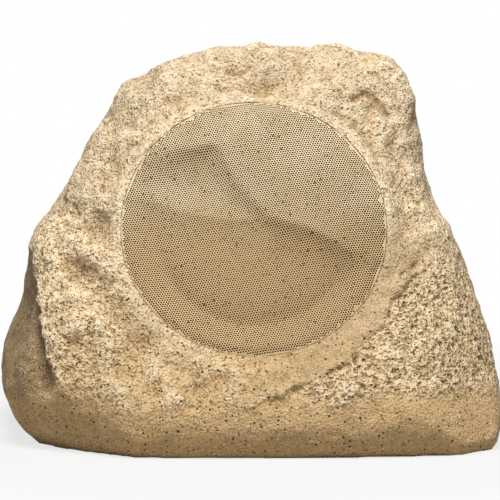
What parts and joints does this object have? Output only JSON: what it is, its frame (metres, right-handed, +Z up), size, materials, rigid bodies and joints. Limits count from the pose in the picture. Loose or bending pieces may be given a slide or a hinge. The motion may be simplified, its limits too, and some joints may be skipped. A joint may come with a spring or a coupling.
{
  "type": "rock-shaped garden loudspeaker",
  "caption": "Garden loudspeaker moulded as a sandstone boulder, with a round pressed grille let into its sloping front face and a cable gland in a pocket at the back.",
  "frame": {"origin": "on the ground under the middle of the rock's overall box", "axes": "+Z up, -Y towards the listener out of the grille, +X to the right as the listener sees it"},
  "size_m": [0.3996, 0.3201, 0.306],
  "materials": {
    "rock": "pitted sandstone paint on stone-filled resin",
    "grille": "speckled paint",
    "basket": "satin black",
    "cone": "matt",
    "soft_rubber": "matt",
    "cloth": "resin-dipped cloth",
    "coil": "enamelled winding",
    "steel": "zinc plated",
    "ferrite": "matt",
    "black_plastic": "matt",
    "dome": "coated cloth",
    "base": "moulded",
    "board": "lacquered",
    "winding": "enamelled winding",
    "sleeve": "sleeved",
    "cement": "chalky",
    "green_plastic": "satin",
    "lead_skin": "satin",
    "wadding": "fibre blanket"
  },
  "bodies": {
    "enclosure": {"rock_shell": "rock", "grille": "grille", "driver_gasket": "soft_rubber", "woofer_basket": "basket", "driver_screws": "steel", "surround": "soft_rubber", "spider": "cloth", "top_plate": "steel", "magnet": "ferrite", "yoke": "steel", "terminal_strip": "green_plastic", "tweeter_post": "black_plastic", "tweeter_cup": "black_plastic", "tweeter_magnet": "ferrite", "tweeter_dome": "dome", "tweeter_faceplate": "black_plastic", "base_plate": "base", "base_gasket": "soft_rubber", "base_screws": "steel", "crossover_board": "board", "board_screws": "steel", "inductor": "winding", "capacitors": "sleeve", "resistor": "cement", "terminal_block": "green_plastic", "woofer_lead": "lead_skin", "tweeter_lead": "lead_skin", "damping_pad": "wadding", "gland_body": "black_plastic", "gland_nut": "black_plastic", "gland_seal": "soft_rubber", "gland_cap": "black_plastic"},
    "cone": {"woofer_cone": "cone", "voice_coil": "coil"}
  },
  "joints": [
    {"name": "cone_travel", "type": "slide", "parent": "enclosure", "child": "cone", "axis": [0, -0.9063, 0.4226], "range_m": [-0.0045, 0.0045], "stiffness_N_per_m": 2000, "deforming": ["surround", "spider"]}
  ]
}
